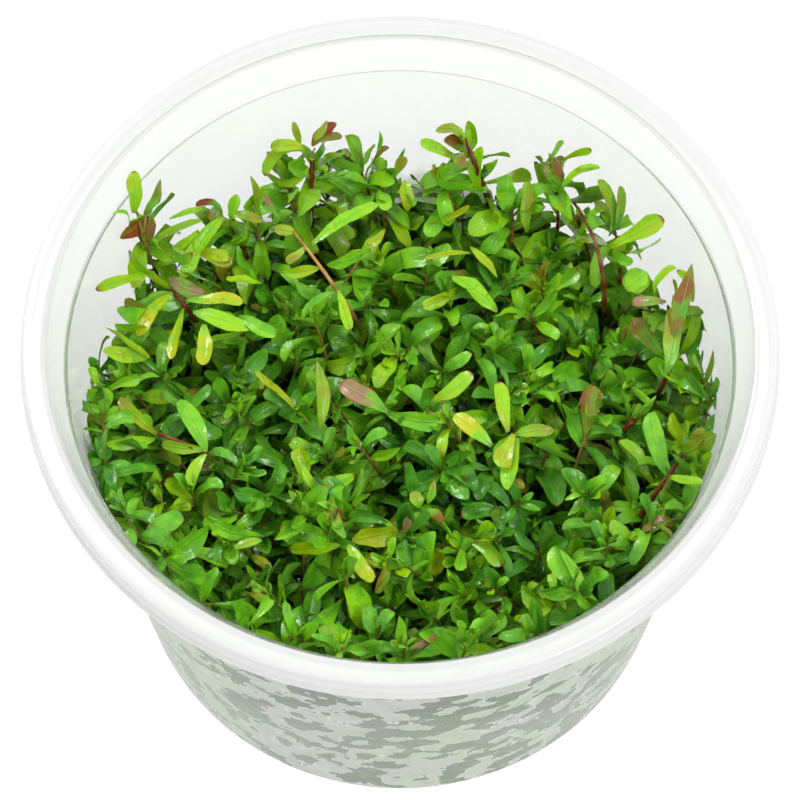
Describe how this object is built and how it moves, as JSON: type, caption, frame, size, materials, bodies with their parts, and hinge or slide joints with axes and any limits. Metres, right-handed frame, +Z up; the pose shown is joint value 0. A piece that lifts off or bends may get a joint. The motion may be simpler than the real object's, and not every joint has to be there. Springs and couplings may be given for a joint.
{
  "type": "tissue culture cup of rotala macrandra green",
  "caption": "Tapered see-through culture cup with a wide lid rim, open at the top, holding clear nutrient gel and a dense mat of small green stem plants with leaves in crossed pairs.",
  "frame": {"origin": "centre of the cup's underside, on the surface it stands on", "axes": "+Z up through the cup's open mouth, +Y to the back, where the tallest shoots stand, +X to the right in the picture"},
  "size_m": [0.1, 0.1, 0.068],
  "materials": {
    "clear_polypropylene": "satin",
    "nutrient_gel": "gloss",
    "leaf_green": "satin"
  },
  "bodies": {
    "root": {"cup": "clear_polypropylene", "nutrient_gel": "nutrient_gel", "plantlet_01": "leaf_green", "plantlet_02": "leaf_green", "plantlet_03": "leaf_green", "plantlet_04": "leaf_green", "plantlet_05": "leaf_green", "plantlet_06": "leaf_green", "plantlet_07": "leaf_green", "plantlet_08": "leaf_green", "plantlet_09": "leaf_green", "plantlet_10": "leaf_green", "plantlet_11": "leaf_green", "plantlet_12": "leaf_green", "plantlet_13": "leaf_green", "plantlet_14": "leaf_green", "plantlet_15": "leaf_green", "plantlet_16": "leaf_green", "plantlet_17": "leaf_green", "plantlet_18": "leaf_green", "plantlet_19": "leaf_green", "plantlet_20": "leaf_green", "plantlet_21": "leaf_green", "plantlet_22": "leaf_green", "plantlet_23": "leaf_green", "plantlet_24": "leaf_green", "plantlet_25": "leaf_green", "plantlet_26": "leaf_green", "plantlet_27": "leaf_green", "plantlet_28": "leaf_green", "plantlet_29": "leaf_green", "plantlet_30": "leaf_green", "plantlet_31": "leaf_green", "plantlet_32": "leaf_green", "plantlet_33": "leaf_green", "plantlet_34": "leaf_green", "plantlet_35": "leaf_green", "plantlet_36": "leaf_green", "plantlet_37": "leaf_green"}
  },
  "joints": []
}
